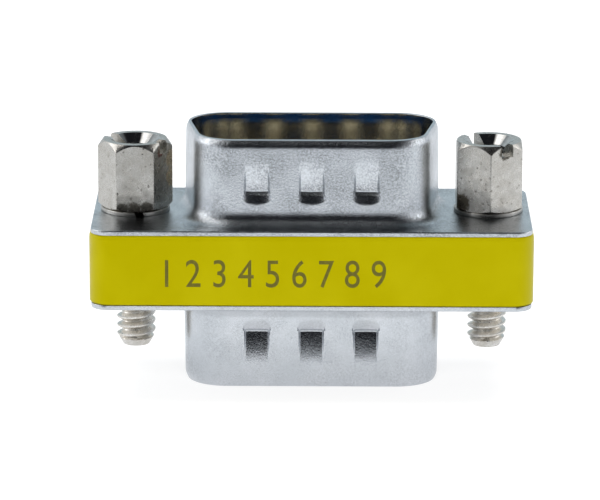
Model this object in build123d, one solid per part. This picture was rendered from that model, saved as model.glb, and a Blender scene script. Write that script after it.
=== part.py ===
from build123d import *
import os
from math import cos, radians, sqrt, tan

os.makedirs("parts", exist_ok=True)

# Low-profile gender changer for nine-way D-sub connectors, with a plug face at both ends.
# Millimetres. It stands on the mouth of its lower plug shell at z = 0, with +X along the flange
# and the front at -Y. The two plug faces are the same piece, turned over about X, so the wide
# side of the D is at the back above and at the front below, and every contact runs straight through.

# Drawn steel plug shell with its flange, all laid out from the cavity that a socket enters
sheet = 0.35
cavity_width = 17.15
cavity_depth = 8.6
cavity_corner = 2.6
side_angle = 10.0
shell_projection = 6.05
rim_round = 0.55
lip_turn = 0.28
base_fillet = 1.0
screw_from_cavity = 3.92
flange_beyond_screw = 2.93
flange_beyond_cavity = 1.975
flange_corner = 1.2
flange_edge_bevel = 0.12
flange_hole = 3.05

# Grounding dimples pressed into both long sides of each shell, as ramps that deepen towards the flange
dimple_count = 3
dimple_pitch = 3.83
dimple_width = 1.68
dimple_height = 2.5
dimple_depth = 0.34
dimple_lip_depth = 0.10
dimple_lip_fade = 0.75
dimple_corner = 0.16
dimple_wall = 0.22
narrow_side_step = 2.46
wide_side_step = 1.58

# Moulded yellow spacer frame between the two flanges
frame_height = 5.04
frame_overhang_ends = 0.125
frame_overhang_sides = 0.025
frame_corner = 1.5
frame_edge_bevel = 0.15
pocket_beyond_cavity_ends = 0.925
pocket_beyond_cavity_sides = 0.9
pocket_corner = 1.0
screw_passage = 3.2

# Blue insulators
insulator_fit = 0.05
insulator_above_flange = 0.3
insulator_rear = 1.35
insulator_edge_bevel = 0.15

# Contacts: five on the wide side of the D and four on the narrow side
wide_row_count = 5
contact_pitch = 2.77
row_spacing = 2.84
pin_diameter = 1.02
pin_tip_chamfer = 0.3
pin_below_rim = 1.4
pin_hole_fit = 0.03
shoulder_width = 1.5
shoulder_thickness = 0.3
tail_width = 0.8
tail_thickness = 0.3

# Jackscrews: slotted hexagonal heads with a tapped bore, on a stud that runs right through. The thread is
# plain here: at its major diameter where the stud stands free, and at its pitch diameter inside the body.
hex_across_flats = 4.64
hex_height = 4.84
hex_edge_round = 0.12
hex_top_land = 4.5
hex_top_chamfer = 54.0
hex_seat_chamfer = 30.0
driver_slot_width = 0.95
driver_slot_depth = 0.85
driver_slot_from_corner = 30.0
tapped_bore = 2.26
tapped_bore_depth = 4.2
bore_mouth = 3.5
stud_diameter = 2.74
stud_pitch_diameter = 2.43
stud_below_flange = 4.11
stud_tip_chamfer = 0.35

# Split lock washers under the heads
washer_thickness = 0.31
washer_outer = 4.9
washer_inner = 2.95
washer_gap = 0.55
washer_gap_slant = 25.0

# Hexagonal nuts held captive between the spacer frame and the lower flange
nut_thickness = 2.0
nut_across_flats = 4.76
nut_fit = 0.04
nut_thread_fit = 0.05
nut_chamfer = 30.0

# How far each screw and washer is turned at rest, from the front towards +X
left_corner_angle = 30.0
right_corner_angle = 2.2
left_gap_angle = 9.0
right_gap_angle = 150.0

# Lengths and widths that follow from the cavity
screw_spacing = cavity_width + 2 * screw_from_cavity
flange_length = screw_spacing + 2 * flange_beyond_screw
flange_width = cavity_depth + 2 * flange_beyond_cavity
frame_length = flange_length + 2 * frame_overhang_ends
frame_width = flange_width + 2 * frame_overhang_sides
pocket_length = cavity_width + 2 * pocket_beyond_cavity_ends
pocket_width = cavity_depth + 2 * pocket_beyond_cavity_sides

# Levels from the mouth of the lower shell upwards
lower_flange_outer = shell_projection
lower_flange_inner = lower_flange_outer + sheet
upper_flange_inner = lower_flange_inner + frame_height
upper_flange_outer = upper_flange_inner + sheet
middle = (lower_flange_inner + upper_flange_inner) / 2
head_seat = upper_flange_outer + washer_thickness
stud_length = head_seat - lower_flange_outer + stud_below_flange

level_tolerance = 1e-4


def d_outline(grow=0.0):
    """Outline of the shell's cavity grown outwards, with the wide side at +Y."""
    half_deep = cavity_depth / 2 - cavity_corner
    half_wide = cavity_width / 2 - cavity_corner
    half_narrow = half_wide - 2 * half_deep * tan(radians(side_angle))
    core = Polyline(
        (-half_wide, half_deep),
        (half_wide, half_deep),
        (half_narrow, -half_deep),
        (-half_narrow, -half_deep),
        close=True,
    )
    return offset(make_face(core), amount=cavity_corner + grow, kind=Kind.ARC)


def upper(piece):
    """Place a plug-face piece on the upper flange."""
    return Pos(0, 0, upper_flange_outer) * piece


def lower(piece):
    """Turn a plug-face piece over about X and place it at the lower flange."""
    return Pos(0, 0, lower_flange_outer) * Rot(180, 0, 0) * piece


def at_level(piece, level):
    """Edges that lie in one horizontal plane."""
    return piece.edges().filter_by_position(Axis.Z, level - level_tolerance, level + level_tolerance)


def shell_loop(body, level):
    """Edges of the D at one level, without those of the flange's outline and holes."""
    reach_x = (cavity_width / 2 + screw_spacing / 2 - flange_hole / 2) / 2
    reach_y = (cavity_depth / 2 + flange_width / 2) / 2
    return [
        edge
        for edge in at_level(body, level)
        if abs(edge.center().X) < reach_x and abs(edge.center().Y) < reach_y
    ]


def dimple(skin, step, wall):
    """One pressed dimple as a solid, pressed towards +Y from a skin, with its sharp step at a height."""
    floor = step - wall
    section = Polyline(
        (0, skin - dimple_depth, step + dimple_height),
        (0, skin, step + dimple_height),
        (0, skin + dimple_depth, floor),
        (0, skin + dimple_lip_depth, floor),
        (0, skin, floor - dimple_lip_fade),
        (0, skin - dimple_depth, floor - dimple_lip_fade),
        close=True,
    )
    width = dimple_width + 2 * wall
    solid = extrude(make_face(section), amount=width / 2, dir=(1, 0, 0), both=True)
    return fillet(at_level(solid, floor).filter_by(Axis.Y), dimple_corner + wall)


def dimples(depth, wall):
    """The rows of dimples on the narrow side at the front and the wide side at the back."""
    row = [(i - (dimple_count - 1) / 2) * dimple_pitch for i in range(dimple_count)]
    narrow = dimple(-depth / 2, narrow_side_step, wall)
    wide = Rot(0, 0, 180) * dimple(-depth / 2, wide_side_step, wall)
    return [Pos(x, 0, 0) * piece for piece in (narrow, wide) for x in row]


def plug_shell():
    """Drawn shell and flange as one sheet, with the flange's outer face at z = 0 and the mouth up."""
    wall = extrude(d_outline(sheet), amount=shell_projection)
    wall = fillet(wall.faces().sort_by(Axis.Z)[-1].edges(), rim_round)
    plate = extrude(RectangleRounded(flange_length, flange_width, flange_corner), amount=-sheet)
    plate = chamfer(plate.faces().sort_by(Axis.Z)[-1].edges(), flange_edge_bevel)
    body = wall + plate
    body = fillet(shell_loop(body, 0), base_fillet)

    cavity = Pos(0, 0, -sheet) * extrude(d_outline(), amount=sheet + shell_projection - rim_round)
    cavity = chamfer(cavity.faces().sort_by(Axis.Z)[-1].edges(), lip_turn)
    body -= cavity
    body -= extrude(d_outline(-lip_turn), amount=2 * shell_projection)
    even_sheet = (2 - sqrt(2)) * (base_fillet + sheet)
    body = chamfer(shell_loop(body, -sheet), even_sheet)

    for bump in dimples(cavity_depth, dimple_wall):
        body += bump
    for recess in dimples(cavity_depth + 2 * sheet, 0):
        body -= recess
    for side in (-1, 1):
        body -= Pos(side * screw_spacing / 2, 0, 0) * Cylinder(flange_hole / 2, 4 * sheet)
    return body


def row_places(count):
    """Places along one row of contacts, centred."""
    return [(i - (count - 1) / 2) * contact_pitch for i in range(count)]


def contact_places():
    """Each contact's x, and its side of the D: 1 for the wide row and -1 for the narrow row."""
    wide = [(x, 1) for x in row_places(wide_row_count)]
    narrow = [(x, -1) for x in row_places(wide_row_count - 1)]
    return wide + narrow


def insulator():
    """Insulator in the plug shell's own frame: a D-shaped nose and a wider block behind the flange."""
    nose = Pos(0, 0, -sheet) * extrude(d_outline(-insulator_fit), amount=sheet + insulator_above_flange)
    nose = chamfer(nose.faces().sort_by(Axis.Z)[-1].edges(), insulator_edge_bevel)
    length = pocket_length - 2 * insulator_fit
    width = pocket_width - 2 * insulator_fit
    rear = RectangleRounded(length, width, pocket_corner - insulator_fit)
    body = nose + Pos(0, 0, -sheet) * extrude(rear, amount=-insulator_rear)
    holes = [
        Pos(x, side * row_spacing / 2, 0) * Cylinder(pin_diameter / 2 + pin_hole_fit, 4 * insulator_rear)
        for x, side in contact_places()
    ]
    return body - holes


def turned(points):
    """Solid turned about Z from a half section of (radius, height) points."""
    section = make_face(Polyline(*[(radius, 0, height) for radius, height in points], close=True))
    return revolve(section, axis=Axis.Z)


def contact(x, side):
    """One contact: a pin at each end on a square shoulder, joined by a flat tail that changes rows."""
    y = side * row_spacing / 2
    seat = frame_height / 2 - insulator_rear
    tip = frame_height / 2 + sheet + shell_projection - pin_below_rim
    under = seat - shoulder_thickness

    def end_pin():
        pin = Pos(0, 0, seat) * Cylinder(pin_diameter / 2, tip - seat, align=(Align.CENTER, Align.CENTER, Align.MIN))
        pin = chamfer(pin.faces().sort_by(Axis.Z)[-1].edges(), pin_tip_chamfer)
        shoulder = Pos(0, 0, seat - shoulder_thickness / 2) * Box(shoulder_width, shoulder_width, shoulder_thickness)
        leg = Pos(0, 0, under / 2) * Box(tail_width, tail_thickness, under + tail_thickness)
        return pin + shoulder + leg

    bridge = Box(tail_width, row_spacing, tail_thickness)
    body = Pos(0, y, 0) * end_pin() + bridge + Pos(0, -y, 0) * Rot(180, 0, 0) * end_pin()
    return Pos(x, 0, middle) * body


def spacer_frame():
    """Moulded frame with a pocket for the insulators, two screw passages and two nut pockets."""
    body = extrude(RectangleRounded(frame_length, frame_width, frame_corner), amount=frame_height)
    ends = body.faces().sort_by(Axis.Z)
    body = chamfer(ends[0].edges() + ends[-1].edges(), frame_edge_bevel)
    body -= extrude(RectangleRounded(pocket_length, pocket_width, pocket_corner), amount=frame_height)
    nut_pocket = RegularPolygon(nut_across_flats / 2 + nut_fit, 6, major_radius=False)
    for side in (-1, 1):
        place = Pos(side * screw_spacing / 2, 0, 0)
        body -= place * Cylinder(screw_passage / 2, 4 * frame_height)
        body -= place * extrude(Rot(0, 0, 30) * nut_pocket, amount=nut_thickness)
    return Pos(0, 0, lower_flange_inner) * body


def hexagon(across_flats, height, corner_round=0.0):
    """Hexagonal bar on z = 0 with one corner towards +X."""
    bar = extrude(RegularPolygon(across_flats / 2, 6, major_radius=False), amount=height)
    if corner_round:
        bar = fillet(bar.edges().filter_by(Axis.Z), corner_round)
    return bar


def corner_radius(across_flats):
    """Radius over a hexagon's corners."""
    return across_flats / 2 / cos(radians(30))


def jackscrew(corner_angle):
    """Slotted hexagonal head on its stud, with the seat under the head at z = 0."""
    corner = corner_radius(hex_across_flats)
    seat_rise = (corner - hex_across_flats / 2) * tan(radians(hex_seat_chamfer))
    top_drop = (corner - hex_top_land / 2) * tan(radians(hex_top_chamfer))
    envelope = turned([
        (0, 0),
        (hex_across_flats / 2, 0),
        (corner, seat_rise),
        (corner, hex_height - top_drop),
        (hex_top_land / 2, hex_height),
        (0, hex_height),
    ])
    head = hexagon(hex_across_flats, hex_height, hex_edge_round) & envelope
    mouth_depth = (bore_mouth - tapped_bore) / 2
    head -= turned([
        (0, hex_height - tapped_bore_depth),
        (tapped_bore / 2, hex_height - tapped_bore_depth),
        (tapped_bore / 2, hex_height - mouth_depth),
        (bore_mouth / 2, hex_height),
        (0, hex_height),
    ])
    slot = Pos(0, 0, hex_height - driver_slot_depth / 2) * Box(
        2 * hex_across_flats, driver_slot_width, driver_slot_depth
    )
    head -= Rot(0, 0, driver_slot_from_corner) * slot
    free_top = stud_below_flange - stud_length
    stud = turned([
        (0, 0),
        (stud_pitch_diameter / 2, 0),
        (stud_pitch_diameter / 2, free_top),
        (stud_diameter / 2, free_top),
        (stud_diameter / 2, stud_tip_chamfer - stud_length),
        (stud_diameter / 2 - stud_tip_chamfer, -stud_length),
        (0, -stud_length),
    ])
    return Rot(0, 0, corner_angle - 90) * (head + stud)


def lock_washer(gap_angle):
    """Split washer lying on z = 0, its slanted gap facing a side."""
    ring = extrude(Circle(washer_outer / 2) - Circle(washer_inner / 2), amount=washer_thickness)
    gap = Pos(washer_outer / 2, 0, washer_thickness / 2) * Rot(washer_gap_slant, 0, 0) * Box(
        washer_outer, washer_gap, 4 * washer_thickness
    )
    return Rot(0, 0, gap_angle - 90) * (ring - gap)


def captive_nut():
    """Hexagonal nut on z = 0, chamfered on both faces, with a flat towards +X."""
    corner = corner_radius(nut_across_flats)
    rise = (corner - nut_across_flats / 2) * tan(radians(nut_chamfer))
    envelope = turned([
        (0, 0),
        (nut_across_flats / 2, 0),
        (corner, rise),
        (corner, nut_thickness - rise),
        (nut_across_flats / 2, nut_thickness),
        (0, nut_thickness),
    ])
    body = Rot(0, 0, 30) * hexagon(nut_across_flats, nut_thickness) & envelope
    return body - Cylinder(stud_diameter / 2 + nut_thread_fit, 4 * nut_thickness)


def export(piece, node, colour):
    """Write one named node as a STEP file."""
    piece.label = node
    piece.color = Color(*colour)
    export_step(piece, f"parts/{node}.step")


steel = (0.74, 0.76, 0.80)
nickel = (0.72, 0.70, 0.66)
yellow = (0.74, 0.69, 0.02)
blue = (0.03, 0.12, 0.26)
gold = (0.85, 0.65, 0.30)

shell = plug_shell()
export(upper(shell), "top_shell", steel)
export(lower(shell), "bottom_shell", steel)
export(upper(insulator()), "top_insulator", blue)
export(lower(insulator()), "bottom_insulator", blue)
export(spacer_frame(), "spacer_frame", yellow)

for number, (x, side) in enumerate(contact_places(), start=1):
    export(contact(x, side), f"contact_{number}", gold)

screws = {
    "left": (-screw_spacing / 2, left_corner_angle, left_gap_angle),
    "right": (screw_spacing / 2, right_corner_angle, right_gap_angle),
}
for side, (x, corner_angle, gap_angle) in screws.items():
    export(Pos(x, 0, head_seat) * jackscrew(corner_angle), f"jackscrew_{side}", nickel)
    export(Pos(x, 0, upper_flange_outer) * lock_washer(gap_angle), f"lock_washer_{side}", nickel)
    export(Pos(x, 0, lower_flange_inner) * captive_nut(), f"captive_nut_{side}", nickel)
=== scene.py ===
import math

import bmesh
import bpy
from mathutils import Matrix, Vector
from mathutils.geometry import tessellate_polygon


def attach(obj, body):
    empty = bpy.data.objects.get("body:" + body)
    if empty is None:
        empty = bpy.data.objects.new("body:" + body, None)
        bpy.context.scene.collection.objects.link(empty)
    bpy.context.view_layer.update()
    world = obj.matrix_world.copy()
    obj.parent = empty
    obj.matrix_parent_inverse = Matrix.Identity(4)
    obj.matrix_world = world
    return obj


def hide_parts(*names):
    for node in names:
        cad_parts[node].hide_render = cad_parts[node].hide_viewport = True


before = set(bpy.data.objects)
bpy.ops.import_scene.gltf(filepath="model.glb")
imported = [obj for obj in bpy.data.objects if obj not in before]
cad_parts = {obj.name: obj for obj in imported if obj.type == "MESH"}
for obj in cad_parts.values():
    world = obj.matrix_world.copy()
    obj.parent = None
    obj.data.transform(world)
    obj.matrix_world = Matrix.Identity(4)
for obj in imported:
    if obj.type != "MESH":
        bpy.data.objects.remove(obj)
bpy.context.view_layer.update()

# The model is laid out in millimetres and turned into metres as each mesh is made.
MM = 0.001
JOIN_DISTANCE = 1e-7
SLIVER_LENGTH = 1e-8

# Levels from the mouth of the lower plug shell upwards
LOWER_FLANGE = 6.05
SHEET = 0.35
BAND_FOOT = LOWER_FLANGE + SHEET
BAND_HEIGHT = 5.04
UPPER_FLANGE = BAND_FOOT + BAND_HEIGHT + SHEET
WASHER_THICKNESS = 0.31
HEAD_SEAT = UPPER_FLANGE + WASHER_THICKNESS
STUD_BELOW_FLANGE = 4.11
STUD_LENGTH = HEAD_SEAT - LOWER_FLANGE + STUD_BELOW_FLANGE

# Drawn plug shell
CAVITY_WIDTH = 17.15
CAVITY_DEPTH = 8.6
CAVITY_CORNER = 2.6
SIDE_ANGLE = math.radians(10)
PROJECTION = 6.05
RIM_ROLL = 0.56
RIM_TURN = math.radians(35)
RIM_SLOPE = 0.26
RIM_EDGE = 0.12
LIP_TURN = 0.28
LIP_BREAK = 0.03
LIP_EDGE = 0.08
LIP_CURL = 0.50
END_TURN = 0.6
END_DRAFT = 0.10
BASE_FILLET = 0.98
FLANGE_LENGTH = 30.85
FLANGE_WIDTH = 12.55
FLANGE_CORNER = 1.2
FLANGE_EDGE = 0.10
FLANGE_FOOT = 0.04
FLANGE_HOLE = 3.05
SCREW_SPACING = 24.99

# Grounding dimples
DIMPLE_PLACES = (-3.83, 0.0, 3.83)
DIMPLE_WIDTH = 1.80
DIMPLE_HEIGHT = 2.6
DIMPLE_DEPTH = 0.54
DIMPLE_EASE = 1.6
DIMPLE_CORNER = 0.16
DIMPLE_EDGE = 0.14
DIMPLE_FILLET_TURN = 0.8
STEP_EDGE = 0.26
DISH_SLOPE = 0.44
DISH_BEYOND = 0.07
DISH_FADE = 0.58
DISH_FALL = 4
DISH_SAG = 0.10
INNER_WALL = 0.22
NARROW_STEP = 2.12
WIDE_STEP = 1.80

# Small knock at the foot of the upper shell's front: a bite with a raised burr beside it
BITE_PLACE = (-6.42, 1.42)
BITE_DEPTH = 0.055
BURR_PLACE = (-6.62, 1.56)
BURR_HEIGHT = 0.045
KNOCK_REACH = (0.30, 0.26)

# Spacing of the shell's points, closer at the dimples' sides and steps
ALONG_SPACING = 0.16
UP_SPACING = 0.22
CLOSEST = 0.02
SIDE_OFFSETS = (0.22, 0.15, 0.08, 0.04, 0.0, -0.035, -0.07, -0.105, -0.14, -0.18, -0.24)
STEP_OFFSETS = (-0.30, -0.20, -0.12, -0.06, 0.0, 0.05, 0.09, 0.13, 0.17, 0.21, 0.26, 0.32)
CORNER_STEPS = 22
END_STEPS = 8
BEND_STEPS = 7
RIM_STEPS = 6
CURL_STEPS = 6
EDGE_STEPS = 5
HOLE_SIDES = 48

# Yellow band, kept just inside its CAD node so that the print lies within the model's box
BAND_LENGTH = 31.08
BAND_WIDTH = 12.58
BAND_CORNER = 1.5
BAND_CORNER_STEPS = 14
BAND_EDGE = 0.14
BAND_EDGE_STEPS = 6
BAND_TOP_INSET = 0.20
BAND_TOP_DROP = 0.42
POCKET_LENGTH = 19.0
POCKET_WIDTH = 10.4
POCKET_CORNER = 1.0
SCREW_PASSAGE = 3.2
NUT_POCKET_FLATS = 4.84
NUT_POCKET_DEPTH = 2.0

# Jackscrews
HEX_FLATS = 4.59
HEX_HEIGHT = 4.84
HEX_EDGE_ROUND = 0.12
HEX_LAND = 2.25
HEX_TOP_CHAMFER = math.radians(54)
HEX_SEAT_CHAMFER = math.radians(30)
HEX_SEAT_MIDDLE = 0.6
HEX_SEAT_BREAK = 0.02
HEX_BREAK = 0.05
HEX_FLAT_STEPS = 10
HEX_CORNER_STEPS = 5
SLOT_WIDTH = 0.95
SLOT_DEPTH = 0.85
SLOT_ANGLES = {"left": 30.0, "right": 34.0}
SLOT_OFFSETS = {"left": 0.0, "right": 0.11}
BORE_RADIUS = 1.13
BORE_DEPTH = 4.2
BORE_THREAD_DEPTH = 0.24
BORE_THREAD_STEEPNESS = 1.3
MOUTH_RADIUS = 1.75
THREAD_PITCH = 0.635
THREAD_CREST = 1.37
THREAD_ROOT = 0.98
THREAD_CREST_SHARE = 0.22
THREAD_FLANK_SHARE = 0.66
THREAD_STEPS = 12
THREAD_SIDES = 56
STUD_TIP = 0.95
STUD_TAPER = 0.75
STUD_PLAIN = 0.35
STUD_RUN_OUT = 0.3

# Split lock washers
WASHER_OUTER = 2.45
WASHER_INNER = 1.475
WASHER_EDGE = 0.07
WASHER_EDGE_STEPS = 4
WASHER_STEPS = 90
WASHER_GAP = 0.55
WASHER_SLANT = math.radians(25)

# The screws' sides, and how far heads and washers are turned at rest, from the front towards +X
SIDES = {"left": -1, "right": 1}
CORNER_ANGLES = {"left": 31.6, "right": 1.0}
GAP_ANGLES = {"left": 9.0, "right": 150.0}

# Printed numbers on the front
PRINT = "1 2 3 4 5 6 7 8 9"
PRINT_HEIGHT = 1.98
PRINT_LENGTH = 15.4
PRINT_MIDDLE = (-2.5, 8.75)
PRINT_THICKNESS = 0.004

# Places of the materials on a piece that has several
INSIDE = 1
THREAD = 2

# Colours of the materials, and pairs that a colour wanders between
UPPER_STEEL = ((0.66, 0.69, 0.715), (0.72, 0.745, 0.775))
LOWER_STEEL = ((0.64, 0.665, 0.69), (0.70, 0.72, 0.745))
# Darker copy of the shells' steel for the walls inside their mouths: painted shade of the cavity
SHADED_INSIDE_STEEL = ((0.34, 0.39, 0.44), (0.40, 0.45, 0.50))
STEEL_GRAIN_SHARE = 0.36
STEEL_SPECK = (0.30, 0.32, 0.34)
NICKEL = ((0.64, 0.62, 0.58), (0.50, 0.475, 0.43))
NICKEL_GRAIN = (0.33, 0.31, 0.27)
NICKEL_PIT = (0.24, 0.21, 0.17)
BORED = ((0.62, 0.61, 0.59), (0.50, 0.49, 0.47))
# Brighter copy of the screws' nickel and its grain for the studs' thread: painted light
LIT_THREAD_NICKEL = ((0.88, 0.85, 0.80), (0.74, 0.70, 0.63))
LIT_THREAD_GRAIN = (0.50, 0.46, 0.40)
SPRING_STEEL = ((0.55, 0.535, 0.50), (0.44, 0.425, 0.39))
YELLOW = ((0.475, 0.405, 0.0), (0.515, 0.445, 0.002))
YELLOW_SPECK = (0.36, 0.29, 0.0)
YELLOW_SHEEN = (1, 0.93, 0.02, 1)
BLUE = ((0.006, 0.055, 0.16), (0.010, 0.075, 0.20))
GOLD = ((1.0, 0.78, 0.44), (0.90, 0.66, 0.34))
INK = ((0.130, 0.112, 0.002), (0.20, 0.170, 0.002))

# Stains on the heads, each with its middle, reach and colour
STAINS = {
    "right slot": ((13.55, -2.0, 16.45), 0.80, (0.05, 0.042, 0.028)),
    "right foot": ((10.55, -1.5, 12.70), 1.05, (0.11, 0.092, 0.065)),
    "left foot, left": ((-13.3, -2.5, 12.35), 0.70, (0.17, 0.155, 0.13)),
    "left foot, middle": ((-12.5, -2.5, 12.40), 0.75, (0.15, 0.135, 0.11)),
    "left foot, right": ((-11.6, -2.4, 12.40), 0.70, (0.17, 0.155, 0.13)),
    "left slot": ((-10.6, -1.5, 16.2), 0.55, (0.20, 0.09, 0.07)),
    "left edge, high": ((-9.95, -0.2, 15.5), 1.0, (0.62, 0.50, 0.34)),
    "left edge, low": ((-9.95, -0.2, 14.2), 1.0, (0.56, 0.45, 0.30)),
}
STAIN_CORE = 0.35

# Camera, in millimetres
CAMERA_TARGET = (-0.83, 0.0, 8.80)
CAMERA_DISTANCE = 300.0
CAMERA_ELEVATION = math.radians(15.0)
CAMERA_AZIMUTH = math.radians(0.27)
CAMERA_ROLL = math.radians(0.17)
CAMERA_LENS = 253.3
SENSOR = 36.0

# Floor in metres: the glow that is mirrored, and the bands of Y and X where it changes
FLOOR_SIZE = 6.0
DIFFUSE = ((0.20, 0.21, 0.22), (0.22, 0.23, 0.24))
GLOW = ((0.41, 0.42, 0.435), (0.76, 0.77, 0.79))
CLOSE_BAND = (-0.052, -0.028)
WAIST_GLOW = (0.50, 0.51, 0.53)
WAIST_BAND = (-0.0165, -0.0135)
FOOT_GLOW = (0.66, 0.67, 0.69)
FOOT_BAND = (-0.0115, -0.0085)
BESIDE_GLOW = (0.58, 0.59, 0.61)
BESIDE_BAND = (0.0095, 0.012)
SEEN_DIFFUSE = (0.30, 0.30, 0.30)
SEEN_GLOW_STRENGTH = 0.78
WHITE = (1, 1, 1)

# Room, with bands of direction in which its light changes
BACK_BAND = (0.0, 0.75)
SIDE_BAND = (0.45, 0.85)
LOW_BAND = (0.35, 0.65)
FRONT_ROOM = (0.014, 0.015, 0.018)
BACK_ROOM = (0.53, 0.62, 0.67)
SIDE_ROOM = (0.86, 0.88, 0.92)
STRIP_LIGHT = (0.90, 0.92, 0.90)
PANEL_LIGHT = (1.9, 1.9, 1.9)
LAMP_TARGET = (0, 0, 0.01)


class Skin:
    """A mesh being laid out in millimetres from loops of points."""

    def __init__(self):
        self.points = []
        self.faces = []
        self.inner_faces = range(0)

    def loop(self, points):
        start = len(self.points)
        self.points.extend(points)
        return list(range(start, len(self.points)))

    def bridge(self, first, second):
        """Quads between two closed loops with the same number of points."""
        count = len(first)
        for i in range(count):
            j = (i + 1) % count
            self.faces.append((first[i], first[j], second[j], second[i]))

    def stack(self, loops):
        for first, second in zip(loops, loops[1:]):
            self.bridge(first, second)

    def fill(self, *loops):
        """Flat face between an outer loop and any holes in it."""
        corners = [index for loop in loops for index in loop]
        lines = [[Vector(self.points[index]) for index in loop] for loop in loops]
        for triangle in tessellate_polygon(lines):
            self.faces.append(tuple(corners[index] for index in triangle))


def smooth_step(value):
    """0 below 0, 1 above 1 and an even rise between."""
    value = min(max(value, 0.0), 1.0)
    return value * value * (3 - 2 * value)


def mesh_from(skin, name, place):
    """Mesh of a skin in metres and in its place, with doubled points joined and faces turned outwards."""
    mesh = bpy.data.meshes.new(name)
    mesh.from_pydata([tuple(place @ Vector(point) * MM) for point in skin.points], [], skin.faces)
    for index in skin.inner_faces:
        mesh.polygons[index].material_index = INSIDE
    work = bmesh.new()
    work.from_mesh(mesh)
    bmesh.ops.remove_doubles(work, verts=work.verts, dist=JOIN_DISTANCE)
    bmesh.ops.dissolve_degenerate(work, edges=work.edges, dist=SLIVER_LENGTH)
    bmesh.ops.recalc_face_normals(work, faces=work.faces)
    work.to_mesh(mesh)
    work.free()
    return mesh


def join_meshes(name, meshes):
    """One mesh from several."""
    work = bmesh.new()
    for mesh in meshes:
        work.from_mesh(mesh)
    joined = bpy.data.meshes.new(name)
    work.to_mesh(joined)
    work.free()
    return joined


def link(name, data, *materials):
    """Object of a mesh or other data, in the scene and with its materials."""
    piece = bpy.data.objects.new(name, data)
    bpy.context.scene.collection.objects.link(piece)
    for material in materials:
        data.materials.append(material)
    return piece


def evaluated_mesh(source):
    """Mesh of an object with its modifiers or its text worked out."""
    bpy.context.view_layer.update()
    graph = bpy.context.evaluated_depsgraph_get()
    return bpy.data.meshes.new_from_object(source.evaluated_get(graph))


def shade(piece, sharp_angle=32.0):
    """Smooth shading that keeps sharp edges sharp."""
    piece.data.shade_smooth()
    piece.data.set_sharp_from_angle(angle=math.radians(sharp_angle))
    normals = piece.modifiers.new("normals", "WEIGHTED_NORMAL")
    normals.keep_sharp = True
    normals.weight = 100


def stand_for(piece, body, slot, *nodes):
    """The piece rides on its body, and takes the place of its CAD nodes."""
    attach(piece, body)
    if nodes:
        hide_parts(*nodes)


# Node helpers


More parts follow.
